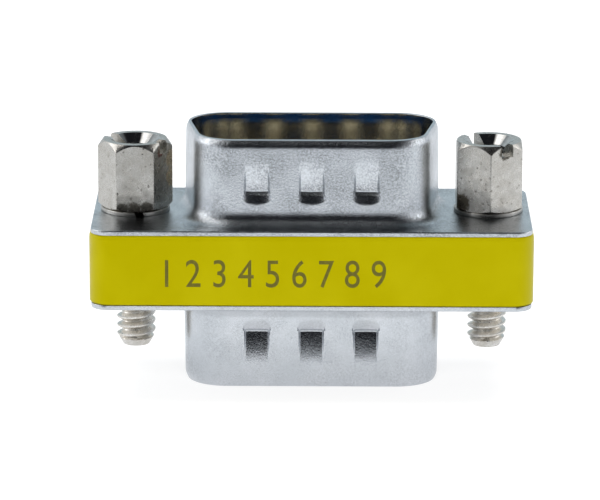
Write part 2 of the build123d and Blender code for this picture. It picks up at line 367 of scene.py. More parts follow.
class Nodes:
    """Short names for building one tree's nodes."""

    def __init__(self, tree):
        self.tree = tree

    def add(self, kind, **values):
        node = self.tree.nodes.new(kind)
        for key, value in values.items():
            setattr(node, key, value)
        return node

    def join(self, source, target):
        self.tree.links.new(source, target)

    def feed(self, value, socket):
        """Put a number, a colour or another node's output into a socket."""
        if isinstance(value, tuple):
            socket.default_value = (*value, 1)
        elif isinstance(value, (int, float)):
            socket.default_value = value
        else:
            self.join(value, socket)

    def coordinates(self):
        return self.add("ShaderNodeTexCoord").outputs["Object"]

    def scaled(self, feature, stretch):
        """Coordinates in which a feature of so many millimetres measures one."""
        mapping = self.add("ShaderNodeMapping")
        mapping.inputs["Scale"].default_value = [part / (feature * MM) for part in stretch]
        self.join(self.coordinates(), mapping.inputs["Vector"])
        return mapping.outputs["Vector"]

    def noise(self, feature, detail=2.0, rough=0.5, stretch=(1, 1, 1)):
        """Noise whose features measure so many millimetres."""
        texture = self.add("ShaderNodeTexNoise")
        texture.inputs["Scale"].default_value = 1.0
        texture.inputs["Detail"].default_value = detail
        texture.inputs["Roughness"].default_value = rough
        self.join(self.scaled(feature, stretch), texture.inputs["Vector"])
        return texture.outputs["Fac"]

    def cells(self, feature):
        """Distance to the middle of the nearest cell, with cells of so many millimetres."""
        texture = self.add("ShaderNodeTexVoronoi")
        texture.inputs["Scale"].default_value = 1.0
        self.join(self.scaled(feature, (1, 1, 1)), texture.inputs["Vector"])
        return texture.outputs["Distance"]

    def span(self, source, low, high, to_low, to_high):
        """Map a value from one range to another, clamped."""
        node = self.add("ShaderNodeMapRange")
        node.inputs["From Min"].default_value = low
        node.inputs["From Max"].default_value = high
        node.inputs["To Min"].default_value = to_low
        node.inputs["To Max"].default_value = to_high
        self.join(source, node.inputs["Value"])
        return node.outputs["Result"]

    def near(self, value, middle, reach, fade):
        """1 within reach of the middle, fading to 0 beyond it."""
        away = self.math("ABSOLUTE", self.math("SUBTRACT", value, middle))
        return self.span(away, reach, reach + fade, 1, 0)

    def math(self, operation, first, second=None):
        node = self.add("ShaderNodeMath", operation=operation)
        for socket, value in zip(node.inputs, (first, second)):
            if value is not None:
                self.feed(value, socket)
        return node.outputs["Value"]

    def blend(self, factor, first, second):
        """Colour between two colours, each a value or another node's colour."""
        node = self.add("ShaderNodeMix", data_type="RGBA")
        self.join(factor, node.inputs["Factor"])
        for name, colour in (("A", first), ("B", second)):
            socket = next(s for s in node.inputs if s.name == name and s.type == "RGBA")
            self.feed(colour, socket)
        return next(s for s in node.outputs if s.type == "RGBA")

    def mottled(self, noise, low, high, colours):
        """Colour that wanders between two colours as a noise does."""
        return self.blend(self.span(noise, low, high, 0, 1), *colours)

    def uneven(self, feature, detail, smoothest, roughest):
        """Roughness that wanders between two values, in patches of so many millimetres."""
        return self.span(self.noise(feature, detail), 0.3, 0.7, smoothest, roughest)

    def bump(self, height, depth, below=None):
        """Bump of so many millimetres over the height's full range."""
        node = self.add("ShaderNodeBump")
        node.inputs["Strength"].default_value = 1.0
        node.inputs["Distance"].default_value = depth * MM
        self.join(height, node.inputs["Height"])
        if below is not None:
            self.join(below, node.inputs["Normal"])
        return node.outputs["Normal"]

    def surface(self, base, rough, normal=None):
        """The material, given its colour, its roughness and, where there is one, its bump."""
        self.join(base, self.shader.inputs["Base Color"])
        self.join(rough, self.shader.inputs["Roughness"])
        if normal is not None:
            self.join(normal, self.shader.inputs["Normal"])
        return self.material

    def mix_shaders(self, factor, first, second):
        node = self.add("ShaderNodeMixShader")
        for socket, source in zip(node.inputs, (factor, first, second)):
            self.join(source, socket)
        return node.outputs[0]

    def seen_by_camera(self):
        return self.add("ShaderNodeLightPath").outputs["Is Camera Ray"]


def principled(name, metallic, **uniform):
    """Nodes of a new material with one principled shader."""
    material = bpy.data.materials.new(name)
    material.use_nodes = True
    nodes = Nodes(material.node_tree)
    nodes.material = material
    nodes.shader = material.node_tree.nodes["Principled BSDF"]
    nodes.shader.inputs["Metallic"].default_value = metallic
    for key, value in uniform.items():
        nodes.shader.inputs[key.replace("_", " ")].default_value = value
    return nodes


# Materials


def shell_steel(name, colours, grain, peel, roughness):
    """Zinc-plated drawn steel: satin and cloudy, with fine orange peel, patchy grain and specks."""
    nodes = principled(name, 1.0)
    base = nodes.mottled(nodes.noise(2.6, 3), 0.35, 0.65, colours)
    patches = nodes.span(nodes.noise(2.2, 2), 0.36, 0.66, 0.25, 0.85)
    grains = nodes.span(nodes.noise(0.15, 4, 0.9), 0.40, 0.62, 0, grain)
    grain_colour = tuple(part * STEEL_GRAIN_SHARE for part in colours[0])
    base = nodes.blend(nodes.math("MULTIPLY", grains, patches), base, grain_colour)
    specks = nodes.span(nodes.noise(0.16, 3, 0.7), 0.62, 0.72, 0, 1)
    base = nodes.blend(nodes.math("MULTIPLY", specks, 0.35), base, STEEL_SPECK)
    wave = nodes.bump(nodes.noise(1.9, 1), 0.016)
    peeled = nodes.bump(nodes.noise(0.14, 3, 0.85), peel, wave)
    return nodes.surface(base, nodes.uneven(0.7, 3, *roughness), peeled)


def upper_steel():
    return shell_steel("shell_steel", UPPER_STEEL, grain=1.0, peel=0.025, roughness=(0.14, 0.22))


def lower_steel():
    return shell_steel("shell_steel_lower", LOWER_STEEL, grain=0.45, peel=0.015, roughness=(0.15, 0.24))


# The shells' steel in darker colours, and smoother, for the inside of the mouths: painted shade in the
# cavity
def shaded_inside_steel():
    return shell_steel("shell_steel_inside_shaded", SHADED_INSIDE_STEEL, grain=0.9, peel=0.012, roughness=(0.05, 0.10))


def screw_nickel():
    """Nickel-plated hexagonal bar, with grain along its length, small pits and stains."""
    nodes = principled("screw_nickel", 1.0)
    pits = nodes.span(nodes.cells(0.42), 0.10, 0.22, 1, 0)
    fine = nodes.span(nodes.noise(0.10, 4, 0.85), 0.42, 0.66, 0, 0.55)
    base = nodes.mottled(nodes.noise(0.9, 4, 0.6), 0.35, 0.68, NICKEL)
    base = nodes.blend(fine, base, NICKEL_GRAIN)
    base = nodes.blend(nodes.math("MULTIPLY", pits, 0.45), base, NICKEL_PIT)
    for place, reach, colour in STAINS.values():
        base = nodes.blend(stain(nodes, place, reach), base, colour)
    grain = nodes.bump(nodes.noise(0.16, 3, 0.7, (1, 1, 0.35)), 0.011)
    pitted = nodes.bump(nodes.math("MULTIPLY", pits, -1), 0.012, grain)
    return nodes.surface(base, nodes.uneven(0.5, 3, 0.20, 0.36), pitted)


def stain(nodes, place, reach):
    """Mottled patch round a place in millimetres, ragged at its edge."""
    away = nodes.add("ShaderNodeVectorMath", operation="DISTANCE")
    nodes.join(nodes.coordinates(), away.inputs[0])
    away.inputs[1].default_value = [part * MM for part in place]
    inside = nodes.span(away.outputs["Value"], STAIN_CORE * reach * MM, reach * MM, 0.42, -0.25)
    ragged = nodes.math("ADD", inside, nodes.noise(0.22, 4, 0.8))
    return nodes.span(ragged, 0.55, 0.72, 0, 0.92)


def bored_nickel():
    """Smooth machined nickel of the countersinks and bores, with fine turning marks."""
    nodes = principled("bored_nickel", 1.0)
    marks = nodes.noise(0.16, 3, 0.6, (0.25, 0.25, 1))
    base = nodes.mottled(marks, 0.3, 0.7, BORED)
    return nodes.surface(base, nodes.uneven(0.4, 2, 0.06, 0.11), nodes.bump(marks, 0.002))


def lit_thread_nickel():
    """Brighter copy of the screws' nickel for the studs' rolled thread, painted light, with a dull fine
    grain.
    """
    nodes = principled("lit_thread_nickel", 1.0)
    fine = nodes.span(nodes.noise(0.12, 4, 0.8), 0.42, 0.66, 0, 0.6)
    base = nodes.mottled(nodes.noise(0.8, 3), 0.35, 0.65, LIT_THREAD_NICKEL)
    base = nodes.blend(fine, base, LIT_THREAD_GRAIN)
    grain = nodes.bump(nodes.noise(0.15, 3, 0.7), 0.010)
    return nodes.surface(base, nodes.uneven(0.4, 2, 0.22, 0.36), grain)


def washer_steel():
    """Plated spring steel, darker than the screws."""
    nodes = principled("washer_steel", 1.0)
    base = nodes.mottled(nodes.noise(0.6, 3), 0.35, 0.65, SPRING_STEEL)
    grain = nodes.bump(nodes.noise(0.2, 3), 0.012)
    return nodes.surface(base, nodes.uneven(0.3, 2, 0.26, 0.40), grain)


def yellow_plastic():
    """Moulded yellow plastic with a satin skin, a faintly cloudy colour and specks."""
    nodes = principled(
        "yellow_plastic", 0.0, IOR=1.5, Specular_IOR_Level=0.5, Specular_Tint=YELLOW_SHEEN
    )
    base = nodes.mottled(nodes.noise(4.0, 3), 0.35, 0.65, YELLOW)
    speck = nodes.span(nodes.noise(0.3, 4, 0.7), 0.66, 0.74, 0, 0.5)
    base = nodes.blend(speck, base, YELLOW_SPECK)
    wave = nodes.bump(nodes.noise(3.0, 1), 0.02)
    grain = nodes.bump(nodes.noise(0.18, 3), 0.006, wave)
    return nodes.surface(base, nodes.uneven(0.8, 3, 0.30, 0.42), grain)


def blue_plastic():
    """Dark blue moulded insulator, matt with a fine grain."""
    nodes = principled("blue_plastic", 0.0, IOR=1.5)
    base = nodes.mottled(nodes.noise(1.5, 3), 0.35, 0.65, BLUE)
    grain = nodes.bump(nodes.noise(0.15, 3), 0.006)
    return nodes.surface(base, nodes.uneven(0.5, 2, 0.38, 0.52), grain)


def contact_gold(name, metallic):
    """Gold-flashed turned pins, with fine turning marks and an uneven colour."""
    nodes = principled(name, metallic)
    base = nodes.mottled(nodes.noise(0.5, 3), 0.4, 0.65, GOLD)
    marks = nodes.bump(nodes.noise(0.1, 2, 0.5, (0.3, 0.3, 1)), 0.003)
    return nodes.surface(base, nodes.uneven(0.3, 2, 0.16, 0.30), marks)


def dark_print():
    """Olive-black pad print, a little worn and uneven."""
    nodes = principled("dark_print", 0.0, IOR=1.45)
    base = nodes.mottled(nodes.noise(0.35, 4, 0.7), 0.50, 0.72, INK)
    return nodes.surface(base, nodes.uneven(0.3, 2, 0.42, 0.55))


# Outlines


def arc(start, end, steps):
    """Angles from start to end in degrees, without the last."""
    return [start + (end - start) * i / steps for i in range(steps)]


def quarter_turns(steps):
    """Angles in radians from nothing to a quarter turn, both included."""
    return [math.radians(90 * i / steps) for i in range(steps + 1)]


def rounded_rectangle(length, width, corner, inset=0.0, steps=10):
    """Points round a rectangle with round corners, anticlockwise."""
    points = []
    for quarter, (side_x, side_y) in enumerate(((1, -1), (1, 1), (-1, 1), (-1, -1))):
        middle_x = side_x * (length / 2 - corner)
        middle_y = side_y * (width / 2 - corner)
        for angle in arc(90 * quarter - 90, 90 * quarter, steps) + [90 * quarter]:
            turn = math.radians(angle)
            reach = corner - inset
            points.append((middle_x + reach * math.cos(turn), middle_y + reach * math.sin(turn)))
    return points


def circle(radius, count, x=0.0):
    """Points round a circle whose middle is on the X axis."""
    turns = [2 * math.pi * i / count for i in range(count)]
    return [(x + radius * math.cos(turn), radius * math.sin(turn)) for turn in turns]


def polar(angle, radius, height):
    """Point at a height, so far round the Z axis and out from it."""
    return radius * math.cos(angle), radius * math.sin(angle), height


def at(points, height):
    """The points of a flat outline, at a height."""
    return [(x, y, height) for x, y in points]


def even_places(low, high, spacing):
    """Places between two ends, about so far apart, without the ends."""
    steps = round((high - low) / spacing)
    return {round(low + (high - low) * i / steps, 4) for i in range(1, steps)}


def uncrowded(places, low, high):
    """The low end and the places up to the high one, without those that crowd each other."""
    kept = [low]
    for place in sorted(places):
        if place - kept[-1] > CLOSEST and high - place > CLOSEST:
            kept.append(place)
    return kept


# Plug shells


def straight_places(half):
    """Places along a long side, close together at the dimples' sides, without the last."""
    places = even_places(-half, half, ALONG_SPACING)
    for middle in DIMPLE_PLACES:
        for offset in SIDE_OFFSETS:
            places.add(round(middle + (DIMPLE_WIDTH / 2 + offset), 4))
            places.add(round(middle - (DIMPLE_WIDTH / 2 + offset), 4))
    return uncrowded(places, -half, half)


def wall_heights(low, high, wall):
    """Heights up the wall, close together at the dimples' steps, with both ends."""
    heights = even_places(low, high, UP_SPACING)
    for step in (NARROW_STEP - wall, WIDE_STEP - wall):
        for offset in STEP_OFFSETS:
            heights.add(round(step + offset, 4))
    return uncrowded(heights, low, high) + [high]


def d_stations():
    """Stations round the D, anticlockwise: (core x, core y, normal x, normal y, on a long side)."""
    half_deep = CAVITY_DEPTH / 2 - CAVITY_CORNER
    half_wide = CAVITY_WIDTH / 2 - CAVITY_CORNER
    half_narrow = half_wide - 2 * half_deep * math.tan(SIDE_ANGLE)
    slope = math.degrees(SIDE_ANGLE)
    stations = [(x, -half_deep, 0.0, -1.0, True) for x in straight_places(half_narrow)]

    def facing(x, y, angle):
        turn = math.radians(angle)
        return x, y, math.cos(turn), math.sin(turn), False

    def turn_corner(x, y, start, end):
        stations.extend(facing(x, y, angle) for angle in arc(start, end, CORNER_STEPS))

    def run_side(x, y, end_x, end_y, angle):
        for i in range(END_STEPS):
            part = i / END_STEPS
            stations.append(facing(x + (end_x - x) * part, y + (end_y - y) * part, angle))

    turn_corner(half_narrow, -half_deep, -90, -slope)
    run_side(half_narrow, -half_deep, half_wide, half_deep, -slope)
    turn_corner(half_wide, half_deep, -slope, 90)
    stations.extend((-x, half_deep, 0.0, 1.0, True) for x in straight_places(half_wide))
    turn_corner(-half_wide, half_deep, 90, 180 + slope)
    run_side(-half_wide, half_deep, -half_narrow, -half_deep, 180 + slope)
    turn_corner(-half_narrow, -half_deep, 180 + slope, 270)
    return stations


def dish_inset(across, above_step, half, from_side):
    """How far the sheet is drawn in round a dimple's sharp step, as a shallow dish."""
    width = abs(across) / (half + DISH_BEYOND)
    foot = DISH_FADE * math.sqrt(1 - width * width) if width < 1 else -1.0
    top = STEP_EDGE if from_side > 0 else 0.0
    rise = above_step if above_step < top else top - DISH_FALL * (above_step - top)
    return DISH_SLOPE * max(foot + rise + DISH_SAG * width * width, 0.0)


def dimple_inset(across, above_step, wall):
    """How far in a dimple is pressed, away from its middle line and above its sharp step."""
    half = DIMPLE_WIDTH / 2 + wall
    edge = DIMPLE_EDGE + wall
    height = above_step + wall
    corner = DIMPLE_CORNER + wall
    from_side = half - abs(across)
    from_step = height * edge / (STEP_EDGE + wall)
    inside = min(from_side, from_step)
    if from_side < corner and from_step < corner:
        inside = corner - math.hypot(corner - from_side, corner - from_step)
    climb = min(max(height / (DIMPLE_HEIGHT + wall), 0.0), 1.0)
    ramp = DIMPLE_DEPTH * (1 - climb) ** DIMPLE_EASE
    share = smooth_step(inside / edge)
    return dish_inset(across, above_step, half, from_side) * (1 - share) + ramp * share


def long_side_inset(x, side, height, wall):
    """Sum of the dimples on one long side of the D."""
    step = NARROW_STEP if side < 0 else WIDE_STEP
    return sum(
        dimple_inset(x - middle, height - step, wall)
        for middle in DIMPLE_PLACES
        if abs(x - middle) < DIMPLE_PLACES[-1] / 2
    )


def knock(x, y, height):
    """How far in the small knock is pressed."""
    if y > 0:
        return 0.0

    def closeness(place):
        return math.hypot((x - place[0]) / KNOCK_REACH[0], (height - place[1]) / KNOCK_REACH[1])

    bite = closeness(BITE_PLACE)
    burr = closeness(BURR_PLACE)
    return BITE_DEPTH * math.exp(-bite * bite) - BURR_HEIGHT * math.exp(-burr * burr)


def shell_line(stations, knocked, off, height, wall=None, inwards=0.0):
    """Points round the shell at a height, so far off the cavity, dimpled where a wall is given."""
    points = []
    for core_x, core_y, normal_x, normal_y, on_side in stations:
        inset = inwards * (END_TURN + (1 - END_TURN) * normal_y * normal_y)
        inset -= END_DRAFT * (1 - normal_y * normal_y) * (1 - height / PROJECTION)
        if wall is not None and on_side:
            inset += long_side_inset(core_x, normal_y, height, wall)
        if wall is not None and knocked:
            x = core_x + normal_x * (CAVITY_CORNER + off)
            inset += knock(x, normal_y, height)
        reach = CAVITY_CORNER + off - inset
        points.append((core_x + normal_x * reach, core_y + normal_y * reach, height))
    return points


def rim_profile():
    """(inwards, up) over the rolled mouth: a long roll, a short slope and a tight edge."""
    profile = []
    for i in range(RIM_STEPS + 1):
        turn = RIM_TURN * i / RIM_STEPS
        profile.append((RIM_ROLL * (1 - math.cos(turn)), RIM_ROLL * math.sin(turn)))
    inwards, up = profile[-1]
    inwards += RIM_SLOPE * math.sin(RIM_TURN)
    up += RIM_SLOPE * math.cos(RIM_TURN)
    for i in range(RIM_STEPS + 1):
        turn = RIM_TURN + (math.pi / 2 - RIM_TURN) * i / RIM_STEPS
        across = RIM_EDGE * (math.cos(RIM_TURN) - math.cos(turn))
        profile.append((inwards + across, up + RIM_EDGE * (math.sin(turn) - math.sin(RIM_TURN))))
    return profile


def outer_rings(ring):
    """Rings up the outside, from the flange's top over the rolled mouth."""
    loops = []
    for turn in quarter_turns(BEND_STEPS):
        off = SHEET + BASE_FILLET - BASE_FILLET * math.sin(turn)
        wall = 0.0 if turn > DIMPLE_FILLET_TURN else None
        loops.append(ring(off, BASE_FILLET - BASE_FILLET * math.cos(turn), wall))
    rim = rim_profile()
    top_of_wall = PROJECTION - rim[-1][1]
    loops += [ring(SHEET, height, 0.0) for height in wall_heights(BASE_FILLET, top_of_wall, 0.0)[1:]]
    loops += [ring(SHEET, top_of_wall + up, None, inwards) for inwards, up in rim[1:]]
    loops.append(ring(SHEET, PROJECTION, None, SHEET + LIP_TURN - LIP_BREAK))
    return loops


def inner_rings(ring):
    """Rings down the inside, from the mouth's lip to the flange's underside."""
    full_turn = SHEET + LIP_TURN
    loops = [ring(SHEET, PROJECTION - LIP_BREAK, None, full_turn)]
    curl_foot = PROJECTION - LIP_EDGE - LIP_CURL
    for step in range(CURL_STEPS):
        left = 1 - step / CURL_STEPS
        loops.append(ring(SHEET * left, curl_foot + LIP_CURL * left, None, full_turn * left))
    heights = wall_heights(BASE_FILLET, curl_foot, INNER_WALL)[:-1]
    loops += [ring(0.0, height, INNER_WALL) for height in reversed(heights)]
    bend = BASE_FILLET + SHEET
    for turn in quarter_turns(BEND_STEPS)[1:]:
        loops.append(ring(bend * (1 - math.cos(turn)), BASE_FILLET - bend * math.sin(turn)))
    return loops


def flange_edge_profile():
    """(inset, height) up the flange's rim, with both edges rolled."""
    profile = []
    for turn in quarter_turns(EDGE_STEPS)[:-1]:
        profile.append((FLANGE_FOOT * (1 - math.sin(turn)), FLANGE_FOOT * (1 - math.cos(turn)) - SHEET))
    for turn in quarter_turns(EDGE_STEPS):
        profile.append((FLANGE_EDGE * (1 - math.cos(turn)), -FLANGE_EDGE + FLANGE_EDGE * math.sin(turn)))
    return profile


def add_flange(skin, shell_outside, shell_inside):
    """Flange round the shell, with its top on z = 0 and a hole for each screw."""
    outline = []
    for inset, height in flange_edge_profile():
        line = rounded_rectangle(FLANGE_LENGTH, FLANGE_WIDTH, FLANGE_CORNER, inset)
        outline.append(skin.loop(at(line, height)))
    skin.stack(outline)
    holes = [circle(FLANGE_HOLE / 2, HOLE_SIDES, side * SCREW_SPACING / 2) for side in (-1, 1)]
    upper = [skin.loop(at(hole, 0)) for hole in holes]
    lower = [skin.loop(at(hole, -SHEET)) for hole in holes]
    for first, second in zip(upper, lower):
        skin.bridge(first, second)
    skin.fill(outline[-1], shell_outside, *upper)
    skin.fill(outline[0], shell_inside, *lower)


def plug_shell_skin(knocked):
    """Shell and flange as one sheet, with the flange's outer face at z = 0 and the mouth up."""
    skin = Skin()
    stations = d_stations()

    def ring(*line):
        return skin.loop(shell_line(stations, knocked, *line))

    outside = outer_rings(ring)
    loops = outside + inner_rings(ring)
    skin.stack(loops)
    # The faces inside the mouth take the second material, whose darker colour is painted shade
    skin.inner_faces = range(len(outside) * len(stations), (len(loops) - 1) * len(stations))
    add_flange(skin, loops[0], loops[-1])
    return skin


def add_shells(upper_material, lower_material, inside):
    upper = Matrix.Translation((0, 0, UPPER_FLANGE))
    lower = Matrix.Translation((0, 0, LOWER_FLANGE)) @ Matrix.Rotation(math.pi, 4, "X")
    for name, place, knocked, steel in (
        ("top_shell", upper, True, upper_material),
        ("bottom_shell", lower, False, lower_material),
    ):
        piece = link(f"{name}_drawn", mesh_from(plug_shell_skin(knocked), name, place), steel, inside)
        shade(piece)
        stand_for(piece, "housing", "shell_steel", name)


# Yellow band and its print


def band_edge_profile():
    """(inset, height) up the band's outside, with a small lower edge and a softer upper one."""
    turns = quarter_turns(BAND_EDGE_STEPS)
    profile = [(BAND_EDGE * (1 - math.sin(turn)), BAND_EDGE * (1 - math.cos(turn))) for turn in turns]
    for turn in reversed(turns):
        inset = BAND_TOP_INSET * (1 - math.sin(turn))
        profile.append((inset, BAND_HEIGHT - BAND_TOP_DROP * (1 - math.cos(turn))))
    return profile


def hexagon(flats, x):
    """Corners of a hexagon whose middle is on the X axis, with a flat each way along it."""
    reach = flats / 2 / math.cos(math.radians(30))
    turns = [math.radians(30 + 60 * i) for i in range(6)]
    return [(x + reach * math.cos(turn), reach * math.sin(turn)) for turn in turns]


def add_screw_passage(skin, x):
    """Passage for one stud above a pocket for its nut, as the loops at the bottom and at the top."""
    passage = circle(SCREW_PASSAGE / 2, HOLE_SIDES, x)
    nut = hexagon(NUT_POCKET_FLATS, x)
    ceiling_outer = skin.loop(at(nut, NUT_POCKET_DEPTH))
    ceiling_inner = skin.loop(at(passage, NUT_POCKET_DEPTH))
    skin.fill(ceiling_outer, ceiling_inner)
    mouth = skin.loop(at(nut, 0))
    skin.bridge(mouth, ceiling_outer)
    top = skin.loop(at(passage, BAND_HEIGHT))
    skin.bridge(ceiling_inner, top)
    return mouth, top


def band_skin():
    """Frame between the flanges, with its pocket, screw passages and nut pockets, on z = 0."""
    skin = Skin()
    outline = []
    for inset, height in band_edge_profile():
        line = rounded_rectangle(BAND_LENGTH, BAND_WIDTH, BAND_CORNER, inset, BAND_CORNER_STEPS)
        outline.append(skin.loop(at(line, height)))
    skin.stack(outline)
    pocket_line = rounded_rectangle(POCKET_LENGTH, POCKET_WIDTH, POCKET_CORNER)
    pocket = [skin.loop(at(pocket_line, height)) for height in (0, BAND_HEIGHT)]
    skin.bridge(*pocket)
    passages = [add_screw_passage(skin, side * SCREW_SPACING / 2) for side in (-1, 1)]
    bottom_holes = [mouth for mouth, top in passages]
    top_holes = [top for mouth, top in passages]
    skin.fill(outline[0], pocket[0], *bottom_holes)
    skin.fill(outline[-1], pocket[1], *top_holes)
    return skin


def add_band(material):
    place = Matrix.Translation((0, 0, BAND_FOOT))
    piece = link("spacer_band", mesh_from(band_skin(), "spacer_band", place), material)
    shade(piece)
    stand_for(piece, "housing", "yellow_plastic", "spacer_frame")


def print_mesh():
    """Mesh of the row of numbers, lying flat and in the font's own size."""
    curve = bpy.data.curves.new("front_numbers", "FONT")
    curve.body = PRINT
    curve.align_x = "CENTER"
    curve.align_y = "CENTER"
    curve.resolution_u = 6
    curve.extrude = PRINT_THICKNESS / 2
    text = link("front_numbers_line", curve)
    mesh = evaluated_mesh(text)
    mesh.materials.clear()
    bpy.data.objects.remove(text)
    return mesh


def middle_and_length(values):
    """Middle and length of what the values span."""
    return (max(values) + min(values)) / 2, max(values) - min(values)


def add_print(material):
    """Row of plain numbers printed on the band's front, as thin raised ink."""
    mesh = print_mesh()
    middle_x, length = middle_and_length([vertex.co.x for vertex in mesh.vertices])
    middle_y, height = middle_and_length([vertex.co.y for vertex in mesh.vertices])
    scale_x = PRINT_LENGTH / length
    scale_y = PRINT_HEIGHT / height
    front = -BAND_WIDTH / 2 - PRINT_THICKNESS / 2
    for vertex in mesh.vertices:
        x = PRINT_MIDDLE[0] + (vertex.co.x - middle_x) * scale_x
        z = PRINT_MIDDLE[1] + (vertex.co.y - middle_y) * scale_y
        vertex.co = Vector((x, front - vertex.co.z, z)) * MM
    piece = link("front_numbers", mesh, material)
    stand_for(piece, "housing", "yellow_plastic")


# Jackscrews


def hex_stations():
    """(angle, radius) round a hexagon with slightly round corners, with one corner towards +X."""
    stations = []
    round_middle = (HEX_FLATS / 2 - HEX_EDGE_ROUND) / math.cos(math.radians(30))

    def edge_point(corner, facing):
        """Point on a corner's rounding where the surface faces an angle in degrees."""
        middle = math.radians(corner)
        turn = math.radians(facing)
        x = round_middle * math.cos(middle) + HEX_EDGE_ROUND * math.cos(turn)
        y = round_middle * math.sin(middle) + HEX_EDGE_ROUND * math.sin(turn)
        return x, y

    for corner in range(0, 360, 60):
        for i in range(HEX_CORNER_STEPS + 1):
            x, y = edge_point(corner, corner - 30 + 60 * i / HEX_CORNER_STEPS)
            stations.append((math.atan2(y, x), math.hypot(x, y)))
        start = Vector(edge_point(corner, corner + 30))
        end = Vector(edge_point(corner + 60, corner + 30))
        for i in range(1, HEX_FLAT_STEPS):
            point = start.lerp(end, i / HEX_FLAT_STEPS)
            stations.append((math.atan2(point.y, point.x), point.length))
    return stations


def head_profile(reach):
    """(radius, height) up a head's side that reaches so far, over its top and down the countersink."""
    half = HEX_FLATS / 2
    seat = (reach - half) * math.tan(HEX_SEAT_CHAMFER)
    chamfer = HEX_HEIGHT - (reach - HEX_LAND) * math.tan(HEX_TOP_CHAMFER)
    slope_in = HEX_BREAK * math.cos(HEX_TOP_CHAMFER)
    slope_down = HEX_BREAK * math.sin(HEX_TOP_CHAMFER)
    return [
        (HEX_SEAT_MIDDLE, 0.0),
        (half - HEX_SEAT_BREAK, 0.0),
        (reach, seat + HEX_SEAT_BREAK),
        (reach, chamfer - HEX_BREAK),
        (reach - slope_in * 0.3, chamfer - HEX_BREAK * 0.2),
        (reach - slope_in, chamfer + slope_down),
        (HEX_LAND, HEX_HEIGHT),
        (MOUTH_RADIUS, HEX_HEIGHT),
        (BORE_RADIUS, HEX_HEIGHT - (MOUTH_RADIUS - BORE_RADIUS)),
    ]


def head_rings(skin, stations):
    """Rings up the head's outside and down its countersink."""
    loops = []
    for level in zip(*(head_profile(reach) for angle, reach in stations)):
        points = [polar(angle, *place) for (angle, reach), place in zip(stations, level)]
        loops.append(skin.loop(points))
    return loops


def bore_rings(skin, stations):
    """Rings down the tapped bore, whose thread eases in and out."""
    top = HEX_HEIGHT - (MOUTH_RADIUS - BORE_RADIUS)
    bottom = HEX_HEIGHT - BORE_DEPTH
    rows = round((top - bottom) / THREAD_PITCH * THREAD_STEPS)
    loops = []
    for row in range(1, rows + 1):
        height = top + (bottom - top) * row / rows
        ease = min(1.0, (top - height) / THREAD_PITCH, (height - bottom) / THREAD_PITCH)
        points = []
        for angle, reach in stations:
            phase = (height / THREAD_PITCH - angle / (2 * math.pi)) % 1.0
            cut = smooth_step((1 - abs(2 * phase - 1)) * BORE_THREAD_STEEPNESS)
            points.append(polar(angle, BORE_RADIUS + ease * BORE_THREAD_DEPTH * cut, height))
        loops.append(skin.loop(points))
    return loops


def head_skin():
    """Hexagonal head on z = 0 with one corner towards +X, its bore threaded, without the slot."""
    skin = Skin()
    stations = hex_stations()
    outside = head_rings(skin, stations)
    loops = outside + bore_rings(skin, stations)
    skin.stack(loops)
    skin.inner_faces = range((len(outside) - 2) * len(stations), (len(loops) - 1) * len(stations))
    skin.fill(loops[0])
    skin.fill(loops[-1])
    return skin


def saw_skin(side):
    """Box that the driver's slot is cut with, a little off the middle on one head."""
    skin = Skin()
    box = rounded_rectangle(2 * HEX_FLATS, SLOT_WIDTH, 0.0, steps=0)
    outline = [(x, y - SLOT_OFFSETS[side]) for x, y in box]
    floor = skin.loop(at(outline, HEX_HEIGHT - SLOT_DEPTH))
    roof = skin.loop(at(outline, HEX_HEIGHT + SLOT_DEPTH))
    skin.bridge(floor, roof)
    skin.faces += [tuple(reversed(floor)), tuple(roof)]
    return skin


def cut_slot(mesh, place, side):
    """Saw the driver's slot across the head."""
    turn = place @ Matrix.Rotation(math.radians(SLOT_ANGLES[side]), 4, "Z")
    head = link("head_blank", mesh)
    saw = link("saw", mesh_from(saw_skin(side), "saw", turn))
    cut = head.modifiers.new("slot", "BOOLEAN")
    cut.operation = "DIFFERENCE"
    cut.solver = "EXACT"
    cut.object = saw
    slotted = evaluated_mesh(head)
    for piece in (head, saw):
        bpy.data.objects.remove(piece)
    return slotted


def thread_reach(phase):
    """Radius over one turn of an external thread: a flat crest, straight flanks and a narrow root."""
    flank = abs(2 * phase - 1)
    sunk = min(max((flank - THREAD_CREST_SHARE) / THREAD_FLANK_SHARE, 0.0), 1.0)
    return THREAD_CREST - (THREAD_CREST - THREAD_ROOT) * sunk


def stud_point(row, side):
    """Point of the stud's helix, cut off at the tip and at the seat, on one row and one side."""
    angle = 2 * math.pi * side / THREAD_SIDES
    height = THREAD_PITCH * (row / THREAD_STEPS + side / THREAD_SIDES)
    above = min(max(height, 0.0), STUD_LENGTH)
    cut = smooth_step((above - STUD_PLAIN) / STUD_RUN_OUT)
    phase = (row % THREAD_STEPS) / THREAD_STEPS
    threaded = THREAD_CREST - cut * (THREAD_CREST - thread_reach(phase))
    taper = STUD_TIP + (THREAD_CREST - STUD_TIP) * above / STUD_TAPER
    return polar(angle, min(threaded, taper), above - STUD_LENGTH)


def stud_skin():
    """Stud from the head's seat at z = 0 down to its tip, with a right-hand thread all along."""
    skin = Skin()
    last = round(STUD_LENGTH / THREAD_PITCH * THREAD_STEPS) + 1
    rows = [
        skin.loop([stud_point(row, side) for side in range(THREAD_SIDES)])
        for row in range(-THREAD_STEPS, last + 1)
    ]
    for row in range(len(rows) - THREAD_STEPS):
        upper = rows[row + 1]
        wrapped = rows[row + THREAD_STEPS]
        above_wrapped = rows[min(row + THREAD_STEPS + 1, len(rows) - 1)]
        for i in range(THREAD_SIDES - 1):
            skin.faces.append((rows[row][i], rows[row][i + 1], upper[i + 1], upper[i]))
        skin.faces.append((rows[row][-1], wrapped[0], above_wrapped[0], upper[-1]))
    end = skin.loop(at(circle(STUD_TIP, THREAD_SIDES), -STUD_LENGTH))
    skin.fill(end)
    return skin


